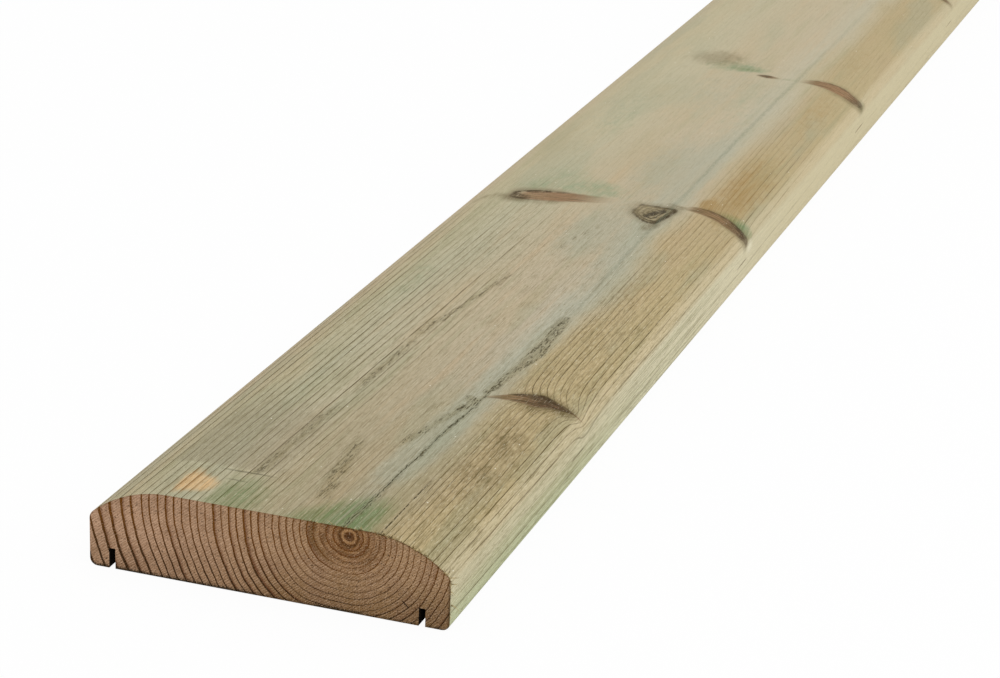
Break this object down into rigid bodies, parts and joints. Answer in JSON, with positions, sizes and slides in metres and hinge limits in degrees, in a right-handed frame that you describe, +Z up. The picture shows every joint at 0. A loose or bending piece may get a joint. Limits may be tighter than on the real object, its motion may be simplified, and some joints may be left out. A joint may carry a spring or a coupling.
{
  "type": "deck railing cap board",
  "caption": "Long planed softwood cap board for a deck railing, with a flat top that falls away in a wide arc at both sides, and two drip grooves along the underside.",
  "frame": {"origin": "middle of the underside, half way along the board", "axes": "+X across the board to its right side, +Y along the board, +Z up from the underside to the flat of the top; the end that the picture shows is at -Y"},
  "size_m": [0.145, 2.4, 0.034],
  "materials": {
    "treated_pine": "matte"
  },
  "bodies": {
    "root": {"cap_board": "treated_pine"}
  },
  "joints": []
}
